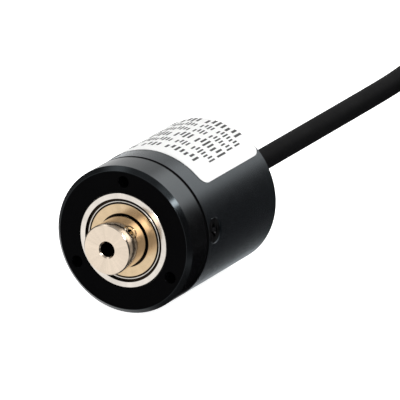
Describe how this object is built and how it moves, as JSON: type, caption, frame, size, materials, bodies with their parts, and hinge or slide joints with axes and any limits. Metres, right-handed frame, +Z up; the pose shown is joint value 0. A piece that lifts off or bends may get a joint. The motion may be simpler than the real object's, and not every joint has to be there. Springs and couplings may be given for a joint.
{
  "type": "rotary encoder",
  "caption": "Miniature cylindrical rotary encoder with a blind hollow-shaft hub on ball bearings, a code disc inside and a cable leaving axially at the rear.",
  "frame": {"origin": "on the surface that the encoder lies on, under the middle of its length", "axes": "+Y from the shaft's mouth to the cable's exit along the shaft's axis, which is 10 mm above the surface, +Z up"},
  "size_m": [0.0319, 0.138, 0.0201],
  "materials": {
    "flange_black": "gloss black anodised and lacquered aluminium",
    "housing_slate": "satin dark slate, fine textured",
    "screw_black": "black oxide",
    "label_white": "white polyester label, satin",
    "spring_steel": "bright spring steel",
    "moulded_black": "moulded",
    "led_clear": "clear epoxy",
    "tinned_pin": "tinned",
    "mask_glass": "clear with chromium slits",
    "chip_black": "moulded epoxy",
    "board_green": "solder mask over glass fibre",
    "brass": "turned",
    "screw_steel": "zinc plated",
    "capacitor_tan": "fired",
    "resistor_dark": "fired",
    "grommet_rubber": "matt",
    "cable_jacket": "matt extruded vinyl",
    "core_insulation": "coloured vinyl, one colour for each core",
    "tie_black": "flat moulded ribbon",
    "shaft_steel": "fine turned stainless steel",
    "set_screw_dark": "blackened steel",
    "hub_aluminium": "turned",
    "disc_steel": "etched thin sheet",
    "bearing_steel": "ground and polished",
    "ball_steel": "polished",
    "cage_plastic": "moulded polyamide",
    "shield_steel": "pressed bright sheet"
  },
  "bodies": {
    "casing": {"front_flange": "flange_black", "housing": "housing_slate", "side_screws": "screw_black", "label": "label_white", "preload_washer": "spring_steel", "led_holder": "moulded_black", "led_emitter": "led_clear", "led_legs": "tinned_pin", "mask_plate": "mask_glass", "sensor_chip": "chip_black", "sensor_board": "board_green", "board_standoffs": "brass", "board_spacers": "brass", "board_screws": "screw_steel", "pin_header": "moulded_black", "board_pins": "tinned_pin", "signal_board": "board_green", "signal_chip": "chip_black", "regulator_chip": "chip_black", "board_capacitors": "capacitor_tan", "board_resistors": "resistor_dark", "cable_grommet": "grommet_rubber", "cable_clamp": "spring_steel", "cable_entry": "cable_jacket", "cable_cores": "core_insulation", "cable": "cable_jacket", "cable_tail": "cable_jacket", "cable_hank": "cable_jacket", "cable_tie": "tie_black", "cable_leads": "core_insulation", "front_bearing_outer_race": "bearing_steel", "front_bearing_shields": "shield_steel", "front_bearing_snap_wires": "spring_steel", "rear_bearing_outer_race": "bearing_steel", "rear_bearing_shields": "shield_steel", "rear_bearing_snap_wires": "spring_steel"},
    "rotor": {"shaft": "shaft_steel", "set_screws": "set_screw_dark", "disc_hub": "hub_aluminium", "code_disc": "disc_steel", "disc_clamp_ring": "hub_aluminium", "front_bearing_inner_race": "bearing_steel", "rear_bearing_inner_race": "bearing_steel"},
    "front_ball_set": {"front_bearing_balls": "ball_steel", "front_bearing_cage": "cage_plastic"},
    "rear_ball_set": {"rear_bearing_balls": "ball_steel", "rear_bearing_cage": "cage_plastic"}
  },
  "joints": [
    {"name": "shaft_spin", "type": "hinge", "parent": "casing", "child": "rotor", "pos_m": [0, -0.0101, 0.01], "axis": [0, -1, 0], "continuous": true},
    {"name": "front_balls_orbit", "type": "hinge", "parent": "casing", "child": "front_ball_set", "pos_m": [0, -0.0081, 0.01], "axis": [0, -1, 0], "continuous": true},
    {"name": "rear_balls_orbit", "type": "hinge", "parent": "casing", "child": "rear_ball_set", "pos_m": [0, -0.0025, 0.01], "axis": [0, -1, 0], "continuous": true}
  ],
  "couplings": [
    {"joint": "front_balls_orbit", "follows": "shaft_spin", "ratio": 0.3811},
    {"joint": "rear_balls_orbit", "follows": "shaft_spin", "ratio": 0.3811}
  ]
}
